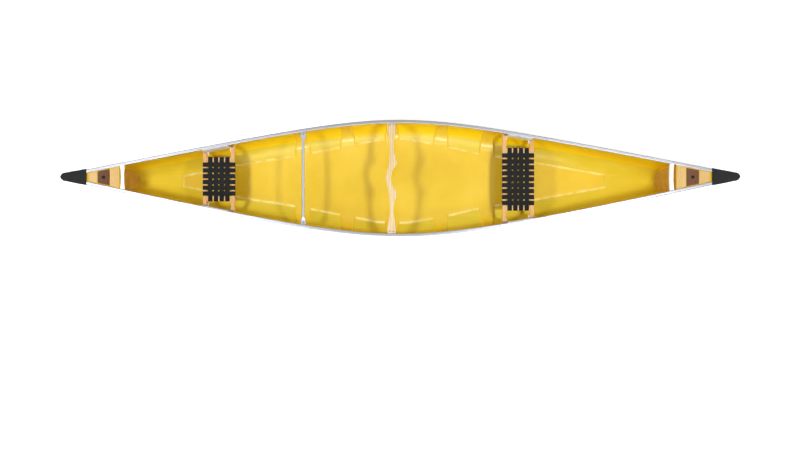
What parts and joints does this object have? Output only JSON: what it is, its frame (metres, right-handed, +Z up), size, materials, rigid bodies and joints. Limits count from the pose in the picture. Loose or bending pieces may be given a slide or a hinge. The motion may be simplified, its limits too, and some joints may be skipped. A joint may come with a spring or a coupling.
{
  "type": "canoe",
  "caption": "Open tandem canoe: a translucent laminate hull with foam-cored floor and ribs, metal gunwales, wood decks, carved portage yoke, thwart and webbed seats.",
  "frame": {"origin": "under the middle of the boat, at the height of the keel's lowest point", "axes": "+X to the bow, +Y to port, +Z up"},
  "size_m": [5.029, 0.9012, 0.5089],
  "materials": {
    "aramid_skin": "clear-coated woven aramid laminate, translucent yellow",
    "foam_core": "aramid over foam, resin gloss",
    "tank_wall": "brown resin-faced foam",
    "gunwale_aluminium": "satin anodised",
    "black_plastic": "moulded, satin",
    "light_wood": "varnished ash or maple",
    "dark_wood": "varnished walnut",
    "ash_wood": "oiled ash",
    "webbing": "woven polypropylene webbing",
    "fastener_steel": "stainless",
    "rubber": "moulded"
  },
  "bodies": {
    "root": {"bow_bulkhead": "tank_wall", "bow_carry_handle": "gunwale_aluminium", "bow_deck_grommet": "rubber", "bow_deck_inner_strip": "light_wood", "bow_deck_middle_strip": "dark_wood", "bow_deck_outer_strip": "light_wood", "bow_deck_plate": "foam_core", "bow_end_cap": "black_plastic", "bow_seat_bolts": "fastener_steel", "bow_seat_crosswise_straps": "webbing", "bow_seat_front_bar": "ash_wood", "bow_seat_hanger_port": "gunwale_aluminium", "bow_seat_hanger_starboard": "gunwale_aluminium", "bow_seat_lengthwise_straps": "webbing", "bow_seat_rails": "ash_wood", "bow_seat_rear_bar": "ash_wood", "bow_tank_lid": "tank_wall", "floor_core_port": "foam_core", "floor_core_starboard": "foam_core", "gunwale_port": "gunwale_aluminium", "gunwale_rivets_port": "fastener_steel", "gunwale_rivets_starboard": "fastener_steel", "gunwale_starboard": "gunwale_aluminium", "hull_skin_port": "aramid_skin", "hull_skin_starboard": "aramid_skin", "portage_yoke": "ash_wood", "rib_1_port": "foam_core", "rib_1_starboard": "foam_core", "rib_2_port": "foam_core", "rib_2_starboard": "foam_core", "rib_3_port": "foam_core", "rib_3_starboard": "foam_core", "rib_4_port": "foam_core", "rib_4_starboard": "foam_core", "rib_5_port": "foam_core", "rib_5_starboard": "foam_core", "stern_bulkhead": "tank_wall", "stern_carry_handle": "gunwale_aluminium", "stern_deck_grommet": "rubber", "stern_deck_inner_strip": "light_wood", "stern_deck_middle_strip": "dark_wood", "stern_deck_outer_strip": "light_wood", "stern_deck_plate": "foam_core", "stern_end_cap": "black_plastic", "stern_seat_bolts": "fastener_steel", "stern_seat_crosswise_straps": "webbing", "stern_seat_front_bar": "ash_wood", "stern_seat_hanger_port": "gunwale_aluminium", "stern_seat_hanger_starboard": "gunwale_aluminium", "stern_seat_lengthwise_straps": "webbing", "stern_seat_rails": "ash_wood", "stern_seat_rear_bar": "ash_wood", "stern_tank_lid": "tank_wall", "thwart": "gunwale_aluminium", "thwart_bolts": "fastener_steel", "thwart_brackets": "gunwale_aluminium", "yoke_bolts": "fastener_steel", "yoke_brackets": "gunwale_aluminium"}
  },
  "joints": []
}
